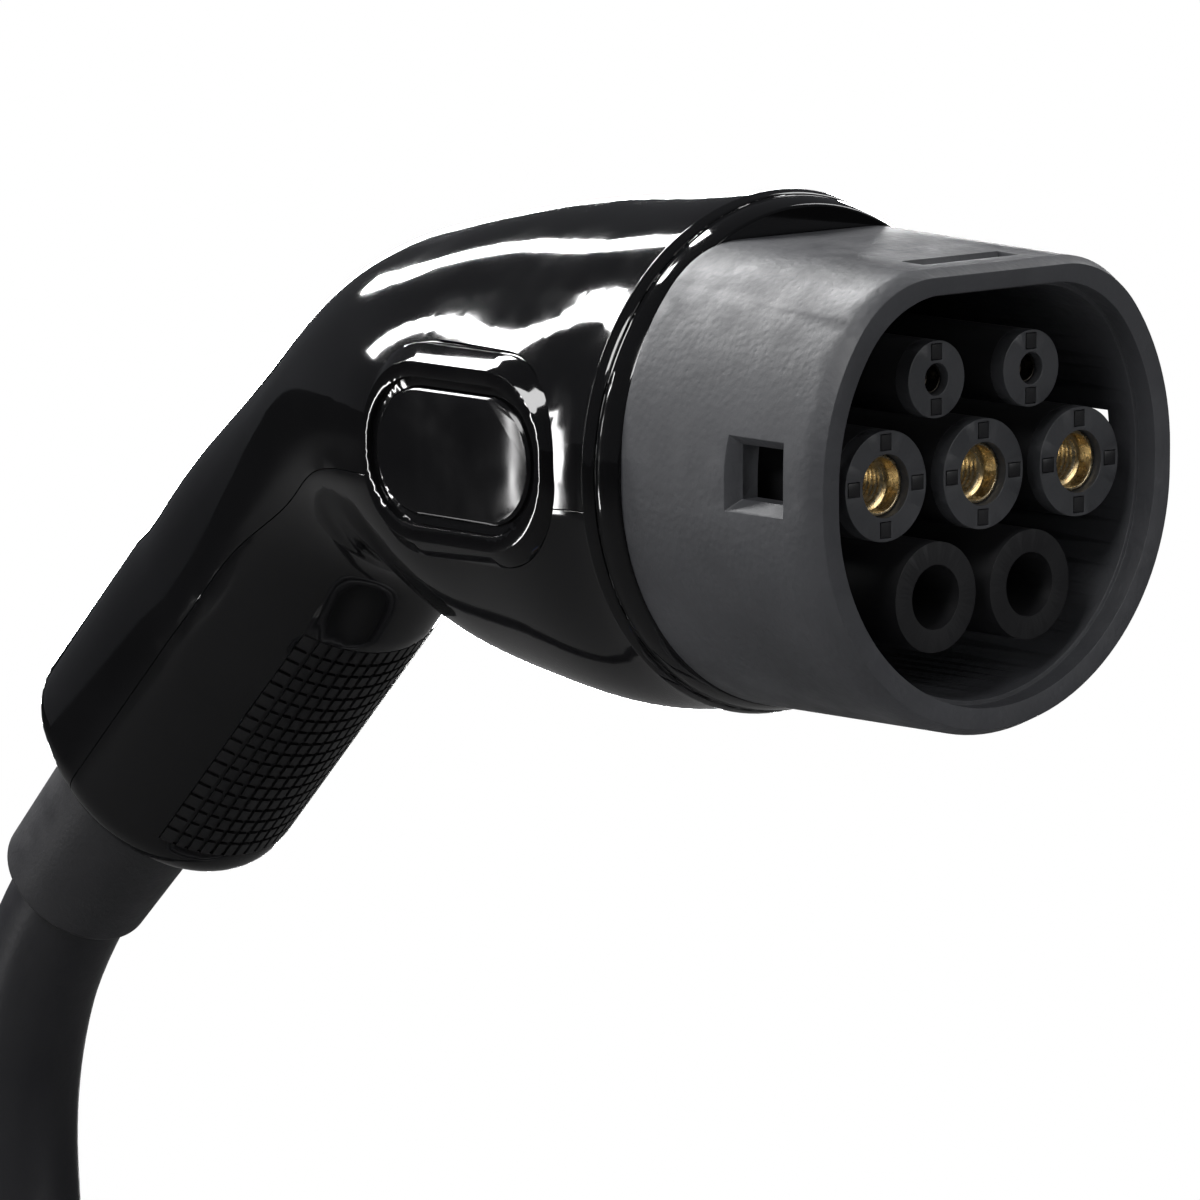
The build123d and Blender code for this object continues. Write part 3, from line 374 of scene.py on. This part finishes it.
def cord_curve(name, points, diameter, material):
    curve = bpy.data.curves.new(name, "CURVE")
    curve.dimensions = "3D"
    curve.bevel_depth = diameter / 2 * MM
    curve.bevel_resolution = 12
    curve.resolution_u = 10
    curve.use_fill_caps = True
    spline = curve.splines.new("NURBS")
    spline.points.add(len(points) - 1)
    for point, place in zip(spline.points, points):
        point.co = (place[0] * MM, place[1] * MM, place[2] * MM, 1)
    spline.order_u = 3
    spline.use_endpoint_u = True
    return dressed(link(bpy.data.objects.new(name, curve)), material)


cord = cord_curve("charging_cable", HANGING + coil_places(), CABLE_DIAMETER, sheath_black)
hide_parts("cable", "cable_coil", "cable_tail")

# ------------------------------------------------------------------ pieces with edges
EDGES = {                      # how far each moulding's sharp edges are rounded, in metres
    "upper_housing": 0.00022, "lower_housing": 0.00022, "front_ring": 0.0003,
    "nose_shroud": 0.00035, "bezel_left": 0.0004, "bezel_right": 0.0004,
    "badge_left": 0.0003, "badge_right": 0.0003, "contact_carrier": 0.00012,
    "cable_boot": 0.0,
}
FINE_EDGE = 0.0001
for node_name, edge in EDGES.items():
    softened(node_name, edge)
for kind in ("touch_guard", "contact"):
    for pole in ("l1", "n", "pe", "cp", "pp"):
        softened(f"{kind}_{pole}", FINE_EDGE, crease=40.0, segments=2)
# the pilot contacts take the dark metal of painted shade in their holes
for node_name in ("contact_cp_moulding", "contact_pp_moulding"):
    bpy.data.objects[node_name].data.materials[0] = contact_painted_shade

# -------------------------------------------------------------------- floor and light
FLOOR_REACH = 9.0
floor_mesh = bpy.data.meshes.new("floor")
floor_mesh.from_pydata([(x * FLOOR_REACH, y * FLOOR_REACH, FLOOR_Z * MM)
                        for x, y in ((-1, -1), (1, -1), (1, 1), (-1, 1))],
                       [], [(0, 1, 2, 3)])
floor = link(bpy.data.objects.new("floor", floor_mesh))
# white paper to the camera, but glossy rays see a dark diffuse sheet instead: painted shade in
# reflections, standing in for the dark cards of a product studio
paper_and_painted_reflection = bpy.data.materials.new("paper_and_painted_reflection")
paper_and_painted_reflection.use_nodes = True
tree = paper_and_painted_reflection.node_tree
tree.nodes.clear()
path = tree.nodes.new("ShaderNodeLightPath")
diffuse = tree.nodes.new("ShaderNodeBsdfDiffuse")
diffuse.inputs["Color"].default_value = (0.8, 0.8, 0.8, 1)
# painted shade: the dark colour that glossy surfaces mirror in place of the white paper
painted_dark_reflection = tree.nodes.new("ShaderNodeBsdfDiffuse")
painted_dark_reflection.inputs["Color"].default_value = (0.05, 0.05, 0.05, 1)
white = tree.nodes.new("ShaderNodeEmission")
white.inputs["Color"].default_value = (1, 1, 1, 1)
white.inputs["Strength"].default_value = 1.0
mirrored = tree.nodes.new("ShaderNodeMixShader")
mix = tree.nodes.new("ShaderNodeMixShader")
out = tree.nodes.new("ShaderNodeOutputMaterial")
tree.links.new(path.outputs["Is Glossy Ray"], mirrored.inputs["Fac"])
tree.links.new(diffuse.outputs[0], mirrored.inputs[1])
tree.links.new(painted_dark_reflection.outputs[0], mirrored.inputs[2])
tree.links.new(path.outputs["Is Camera Ray"], mix.inputs["Fac"])
tree.links.new(mirrored.outputs[0], mix.inputs[1])
tree.links.new(white.outputs[0], mix.inputs[2])
tree.links.new(mix.outputs[0], out.inputs["Surface"])
floor_mesh.materials.append(paper_and_painted_reflection)

world = bpy.data.worlds.new("studio")
bpy.context.scene.world = world
world.use_nodes = True
sky = world.node_tree
dim = sky.nodes["Background"]
dim.inputs["Color"].default_value = (0.9, 0.93, 1.0, 1)
dim.inputs["Strength"].default_value = 0.06
backdrop = sky.nodes.new("ShaderNodeBackground")
backdrop.inputs["Color"].default_value = (1, 1, 1, 1)
backdrop.inputs["Strength"].default_value = 1.0
sky_path = sky.nodes.new("ShaderNodeLightPath")
sky_mix = sky.nodes.new("ShaderNodeMixShader")
sky.links.new(sky_path.outputs["Is Camera Ray"], sky_mix.inputs["Fac"])
sky.links.new(dim.outputs[0], sky_mix.inputs[1])
sky.links.new(backdrop.outputs[0], sky_mix.inputs[2])
sky.links.new(sky_mix.outputs[0], sky.nodes["World Output"].inputs["Surface"])

TARGET = Vector((0.0, 0.075, -0.015))  # middle of the bell


def softbox(name, azimuth, elevation, distance, width, height, power):
    """Rectangular lamp facing the plug; azimuth 0 is in front of its mating face."""
    a, e = radians(azimuth), radians(elevation)
    toward = Vector((sin(a) * cos(e), -cos(a) * cos(e), sin(e)))
    lamp = bpy.data.lights.new(name, "AREA")
    lamp.shape = "RECTANGLE"
    lamp.size = width
    lamp.size_y = height
    lamp.energy = power
    obj = link(bpy.data.objects.new(name, lamp))
    obj.location = TARGET + toward * distance
    obj.rotation_euler = (-toward).to_track_quat("-Z", "Y").to_euler()


# two strips behind draw the bell's highlights, a thin one the lines beside the ring
softbox("back_strip_right", 163, 40, 1.0, 0.10, 0.75, 9)
softbox("back_strip_left", -163, 40, 1.0, 0.13, 0.75, 11)
softbox("side_strip", -128, 4, 1.0, 0.035, 0.8, 2.2)
# a low lamp behind lights the rims, and large soft ones the grained nose
softbox("rim_right", 138, -3, 1.0, 0.35, 0.4, 9)
softbox("key_left", -78, 42, 1.1, 0.5, 0.4, 8)
softbox("front_fill", 8, 22, 1.2, 0.6, 0.6, 5)
softbox("right_fill", 100, 35, 1.1, 0.5, 0.5, 3)

# ---------------------------------------------------------------------------- camera
CAMERA_PLACE = (-0.85506, -0.86128, 0.16697)
CAMERA_AZIMUTH = -42.3967
CAMERA_ELEVATION = 8.5771
camera = bpy.data.cameras.new("camera")
camera.lens = 289.19
camera.sensor_width = 36.0
camera.clip_end = 50.0
view = link(bpy.data.objects.new("camera", camera))
view.location = CAMERA_PLACE
view.rotation_euler = (radians(90 - CAMERA_ELEVATION), 0, radians(CAMERA_AZIMUTH))
bpy.context.scene.camera = view
bpy.context.scene.view_settings.view_transform = "Standard"

bpy.context.view_layer.update()
